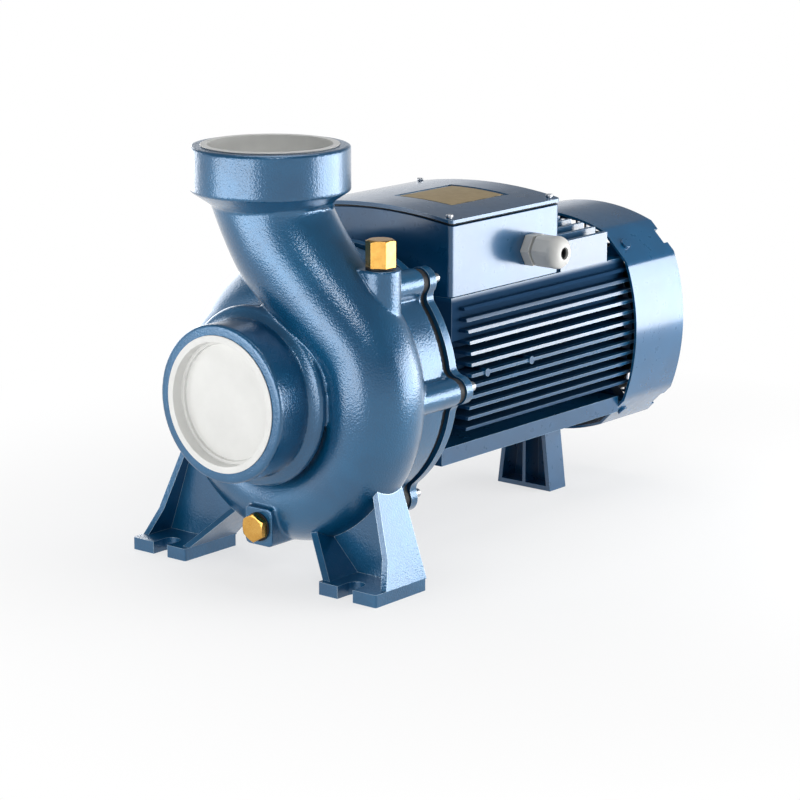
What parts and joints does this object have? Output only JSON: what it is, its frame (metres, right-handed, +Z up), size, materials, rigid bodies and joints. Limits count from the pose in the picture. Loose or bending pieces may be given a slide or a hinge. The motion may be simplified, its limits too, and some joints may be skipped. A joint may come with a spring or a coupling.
{
  "type": "close-coupled centrifugal pump",
  "caption": "Blue close-coupled centrifugal pump with a volute casing, plugged ports, finned motor, terminal box, cable gland and fan cowl.",
  "frame": {"origin": "on the floor, under the middle of the pump's length and width", "axes": "+Y along the shaft from suction to fan, +Z up, +X to the right seen from the suction side"},
  "size_m": [0.276, 0.5317, 0.3662],
  "materials": {
    "casing_enamel": "blue enamel on grey iron casting, satin",
    "motor_enamel": "dark blue enamel on aluminium casting, satin",
    "cowl_enamel": "blue enamel on pressed steel, satin",
    "white_plastic": "white moulded polyethylene",
    "grey_plastic": "light grey moulded polyamide",
    "brass": "turned and milled",
    "zinc_steel": "zinc plated",
    "seal_rubber": "black nitrile",
    "plate_metal": "anodised gold, matt",
    "fan_plastic": "black moulded polyamide",
    "grille_steel": "blue enamel on steel mesh",
    "shaft_steel": "turned"
  },
  "bodies": {
    "root": {"volute_casing": "casing_enamel", "casing_foot_left": "casing_enamel", "casing_foot_right": "casing_enamel", "suction_port_plug": "white_plastic", "discharge_port_plug": "white_plastic", "priming_plug": "brass", "priming_plug_washer": "seal_rubber", "drain_plug": "brass", "drain_plug_washer": "seal_rubber", "casing_gasket": "seal_rubber", "motor_bracket": "casing_enamel", "motor_frame": "motor_enamel", "motor_base": "motor_enamel", "rear_shield": "motor_enamel", "rear_foot": "motor_enamel", "rear_foot_bolts": "zinc_steel", "terminal_box": "motor_enamel", "box_gasket": "seal_rubber", "box_lid": "motor_enamel", "lid_screws": "zinc_steel", "name_plate": "plate_metal", "gland_body": "grey_plastic", "gland_cap": "grey_plastic", "gland_seal": "seal_rubber", "fan_cowl": "cowl_enamel", "fan_grille": "grille_steel", "cowl_screws": "zinc_steel", "cooling_fan": "fan_plastic", "fan_shaft": "shaft_steel", "casing_stud_1": "zinc_steel", "casing_stud_2": "zinc_steel", "casing_stud_3": "zinc_steel", "casing_stud_4": "zinc_steel", "casing_stud_5": "zinc_steel", "casing_stud_6": "zinc_steel"}
  },
  "joints": []
}
